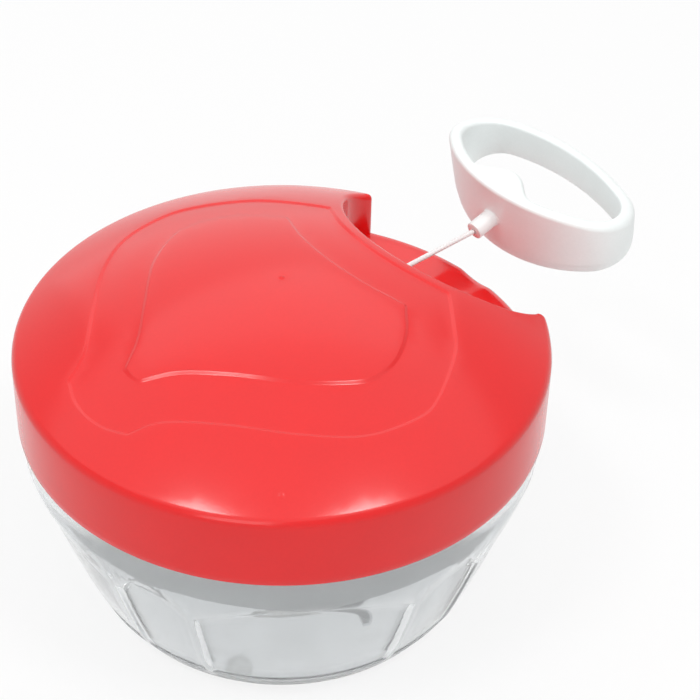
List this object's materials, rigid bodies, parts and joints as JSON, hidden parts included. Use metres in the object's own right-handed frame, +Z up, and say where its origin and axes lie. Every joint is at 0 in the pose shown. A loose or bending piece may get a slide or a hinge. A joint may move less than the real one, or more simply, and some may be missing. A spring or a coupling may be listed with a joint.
{
  "type": "manual_food_chopper",
  "caption": "Pull-cord food chopper: clear plastic bowl with blades on a pin, a red domed lid with a cord reel in it, and a white ring handle on its cord, part way out",
  "frame": {"origin": "centre of the bowl's flat underside, which the foot pads stand half a millimetre below", "axes": "+Z is up, the axis that the blades and the reel turn on; +X is the way that the cord is pulled; +Y completes the right-handed frame"},
  "size_m": [0.17, 0.132, 0.093],
  "materials": {
    "red_plastic": "glossy, moulded in colour",
    "grey_plastic": "satin, moulded",
    "white_plastic": "satin gloss, moulded",
    "natural_plastic": "uncoloured plastic, satin",
    "clear_plastic": "clear moulded plastic, polished inside and out",
    "blade_steel": "fine brushed stainless steel",
    "fastener_steel": "plain zinc-coated steel",
    "spring_steel": "dark spring steel",
    "silicone": "soft, matt",
    "pad_rubber": "soft, matt",
    "cord_polyester": "smooth white braided cord"
  },
  "bodies": {
    "bowl": {"bowl": "clear_plastic", "bowl_pin": "fastener_steel", "foot_pad_1": "pad_rubber", "foot_pad_2": "pad_rubber", "foot_pad_3": "pad_rubber"},
    "lid": {"lid_cover": "red_plastic", "inner_cover": "grey_plastic", "cover_screw_1": "fastener_steel", "cover_screw_2": "fastener_steel", "cover_screw_3": "fastener_steel", "cover_screw_4": "fastener_steel", "seal_ring": "silicone", "cord_eyelet": "fastener_steel", "axle_bolt": "fastener_steel", "axle_washer": "fastener_steel", "recoil_spring": "spring_steel"},
    "cord": {"pull_cord": "cord_polyester"},
    "handle": {"pull_handle": "white_plastic", "cord_knot": "cord_polyester"},
    "reel": {"cord_reel": "natural_plastic", "cord_winding": "cord_polyester", "spring_cap": "natural_plastic"},
    "pawl_body_1": {"pawl_1": "white_plastic"},
    "pawl_body_2": {"pawl_2": "white_plastic"},
    "pawl_body_3": {"pawl_3": "white_plastic"},
    "hub": {"drive_hub": "white_plastic", "hub_clip": "spring_steel"},
    "blades": {"blade_shaft": "white_plastic", "blade_1": "blade_steel", "blade_2": "blade_steel", "blade_3": "blade_steel"}
  },
  "joints": [
    {"name": "lid_lift", "type": "slide", "parent": "bowl", "child": "lid", "axis": [0, 0, 1], "range_m": [0, 0.1]},
    {"name": "handle_pull", "type": "slide", "parent": "lid", "child": "cord", "axis": [0.9992, 0, 0.0393], "range_m": [-0.035, 0.26], "deforming": ["pull_cord"]},
    {"name": "handle_tilt", "type": "hinge", "parent": "cord", "child": "handle", "pos_m": [0.0631, 0, 0.0782], "axis": [0.3201, -0.9334, 0.1621], "range_deg": [-16, 0]},
    {"name": "reel_spin", "type": "hinge", "parent": "lid", "child": "reel", "pos_m": [0, 0, 0.0767], "axis": [0, 0, 1], "range_deg": [-126, 932]},
    {"name": "hub_spin", "type": "hinge", "parent": "lid", "child": "hub", "pos_m": [0, 0, 0.06], "axis": [0, 0, 1], "range_deg": [-126, 932]},
    {"name": "blade_spin", "type": "hinge", "parent": "bowl", "child": "blades", "pos_m": [0, 0, 0.02], "axis": [0, 0, 1], "range_deg": [-126, 932]},
    {"name": "pawl_1_swing", "type": "hinge", "parent": "reel", "child": "pawl_body_1", "pos_m": [0.0102, 0, 0.07], "axis": [0, 0, 1], "range_deg": [0, 18], "stiffness_Nm_per_rad": 0.0002},
    {"name": "pawl_2_swing", "type": "hinge", "parent": "reel", "child": "pawl_body_2", "pos_m": [-0.0051, 0.00883, 0.07], "axis": [0, 0, 1], "range_deg": [0, 18], "stiffness_Nm_per_rad": 0.0002},
    {"name": "pawl_3_swing", "type": "hinge", "parent": "reel", "child": "pawl_body_3", "pos_m": [-0.0051, -0.00883, 0.07], "axis": [0, 0, 1], "range_deg": [0, 18], "stiffness_Nm_per_rad": 0.0002}
  ],
  "couplings": [
    {"joint": "reel_spin", "follows": "handle_pull", "rad_per_m": 62.5},
    {"joint": "hub_spin", "follows": "handle_pull", "rad_per_m": 62.5},
    {"joint": "blade_spin", "follows": "handle_pull", "rad_per_m": 62.5}
  ]
}
